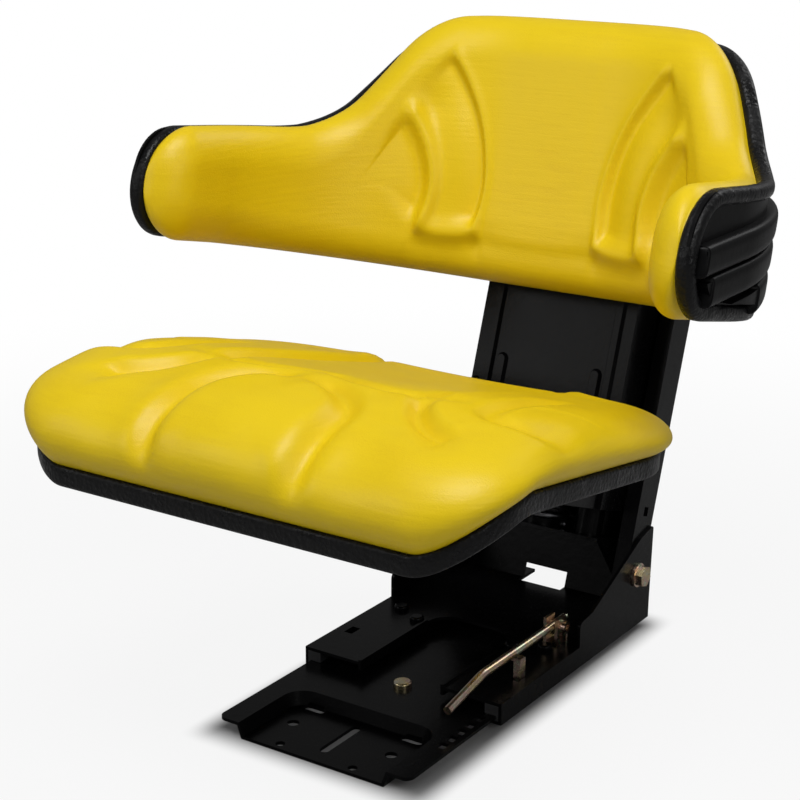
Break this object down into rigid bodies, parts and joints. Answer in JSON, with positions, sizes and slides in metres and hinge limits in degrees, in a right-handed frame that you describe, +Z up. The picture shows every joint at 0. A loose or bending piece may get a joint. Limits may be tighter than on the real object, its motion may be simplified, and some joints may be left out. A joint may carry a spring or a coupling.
{
  "type": "sprung tractor seat",
  "caption": "Wrap-around tractor seat with padded cushions on a leaning sprung roller mast, carried by a carriage that slides fore and aft on a pressed base tray.",
  "frame": {"origin": "centre of the base bolt pattern on the underside of the tray's mounting pads", "axes": "+Z up, the sitter faces -Y, +X is the sitter's left; the mast leans back towards +Y"},
  "size_m": [0.564, 0.673, 0.584],
  "materials": {
    "yellow_cover": "satin grained vinyl cover over foam",
    "edge_rubber": "crinkled extruded edge trim",
    "buffer_rubber": "matt moulded",
    "nylon": "moulded",
    "zinc_steel": "zinc plate with yellow passivation",
    "bare_steel": "oiled spring steel",
    "pan_black": "satin black paint",
    "black_paint": "gloss black paint"
  },
  "bodies": {
    "base": {"base_tray": "black_paint", "travel_stop_bolt": "zinc_steel"},
    "carriage": {"carriage": "black_paint", "glide_front_left": "nylon", "glide_front_right": "nylon", "glide_rear_left": "nylon", "glide_rear_right": "nylon", "deck_bolt_outer_left": "black_paint", "deck_bolt_outer_right": "black_paint", "deck_bolt_inner_left": "black_paint", "deck_bolt_inner_right": "black_paint", "outer_mast": "black_paint", "mast_washer_left": "zinc_steel", "mast_washer_right": "zinc_steel", "mast_bolt_left": "zinc_steel", "mast_bolt_right": "zinc_steel", "spring_shelf": "black_paint", "coil_spring": "bare_steel", "damper_tube": "black_paint", "rebound_buffer": "buffer_rubber", "lever_bracket": "zinc_steel", "lever_pin": "zinc_steel", "lever_spring": "zinc_steel"},
    "slide_lever": {"slide_lever": "zinc_steel"},
    "seat": {"inner_mast": "black_paint", "lower_axle_left": "zinc_steel", "lower_axle_right": "zinc_steel", "upper_axle_left": "zinc_steel", "upper_axle_right": "zinc_steel", "spring_cap": "black_paint", "damper_rod": "bare_steel", "bump_buffer": "buffer_rubber", "seat_arm_left": "black_paint", "seat_arm_right": "black_paint", "seat_bolt_left_1": "zinc_steel", "seat_bolt_left_2": "zinc_steel", "seat_bolt_right_1": "zinc_steel", "seat_bolt_right_2": "zinc_steel", "front_tie_tube": "black_paint", "seat_pan": "pan_black", "seat_trim": "edge_rubber", "seat_cushion": "yellow_cover", "back_pan": "pan_black", "back_trim": "edge_rubber", "back_cushion": "yellow_cover", "back_bracket_lower": "black_paint", "back_bracket_upper": "black_paint", "back_bolt_lower_left": "zinc_steel", "back_bolt_lower_right": "zinc_steel", "back_bolt_upper_left": "zinc_steel", "back_bolt_upper_right": "zinc_steel"},
    "lower_roller_left": {"lower_roller_left": "nylon"},
    "lower_roller_right": {"lower_roller_right": "nylon"},
    "upper_roller_left": {"upper_roller_left": "nylon"},
    "upper_roller_right": {"upper_roller_right": "nylon"}
  },
  "joints": [
    {"name": "fore_aft", "type": "slide", "parent": "base", "child": "carriage", "axis": [0, -1, 0], "range_m": [0, 0.12]},
    {"name": "lever_lift", "type": "hinge", "parent": "carriage", "child": "slide_lever", "pos_m": [0.08, 0.064, 0.046], "axis": [-1, 0, 0], "range_deg": [0, 12], "stiffness_Nm_per_rad": 0.5, "springref_deg": -17.19},
    {"name": "suspension", "type": "slide", "parent": "carriage", "child": "seat", "axis": [0, 0.3173, 0.9483], "range_m": [-0.08, 0], "stiffness_N_per_m": 8000, "springref_m": 0.05, "deforming": ["coil_spring"]},
    {"name": "lower_roll_left", "type": "hinge", "parent": "seat", "child": "lower_roller_left", "pos_m": [0.0931, 0.22259, 0.18854], "axis": [1, 0, 0], "range_deg": [-310, 310]},
    {"name": "lower_roll_right", "type": "hinge", "parent": "seat", "child": "lower_roller_right", "pos_m": [-0.0931, 0.22259, 0.18854], "axis": [1, 0, 0], "range_deg": [-310, 310]},
    {"name": "upper_roll_left", "type": "hinge", "parent": "seat", "child": "upper_roller_left", "pos_m": [0.0931, 0.28193, 0.36587], "axis": [1, 0, 0], "range_deg": [-310, 310]},
    {"name": "upper_roll_right", "type": "hinge", "parent": "seat", "child": "upper_roller_right", "pos_m": [-0.0931, 0.28193, 0.36587], "axis": [1, 0, 0], "range_deg": [-310, 310]}
  ],
  "couplings": [
    {"joint": "lower_roll_left", "follows": "suspension", "rad_per_m": -66.225},
    {"joint": "lower_roll_right", "follows": "suspension", "rad_per_m": -66.225},
    {"joint": "upper_roll_left", "follows": "suspension", "rad_per_m": 66.225},
    {"joint": "upper_roll_right", "follows": "suspension", "rad_per_m": 66.225}
  ]
}
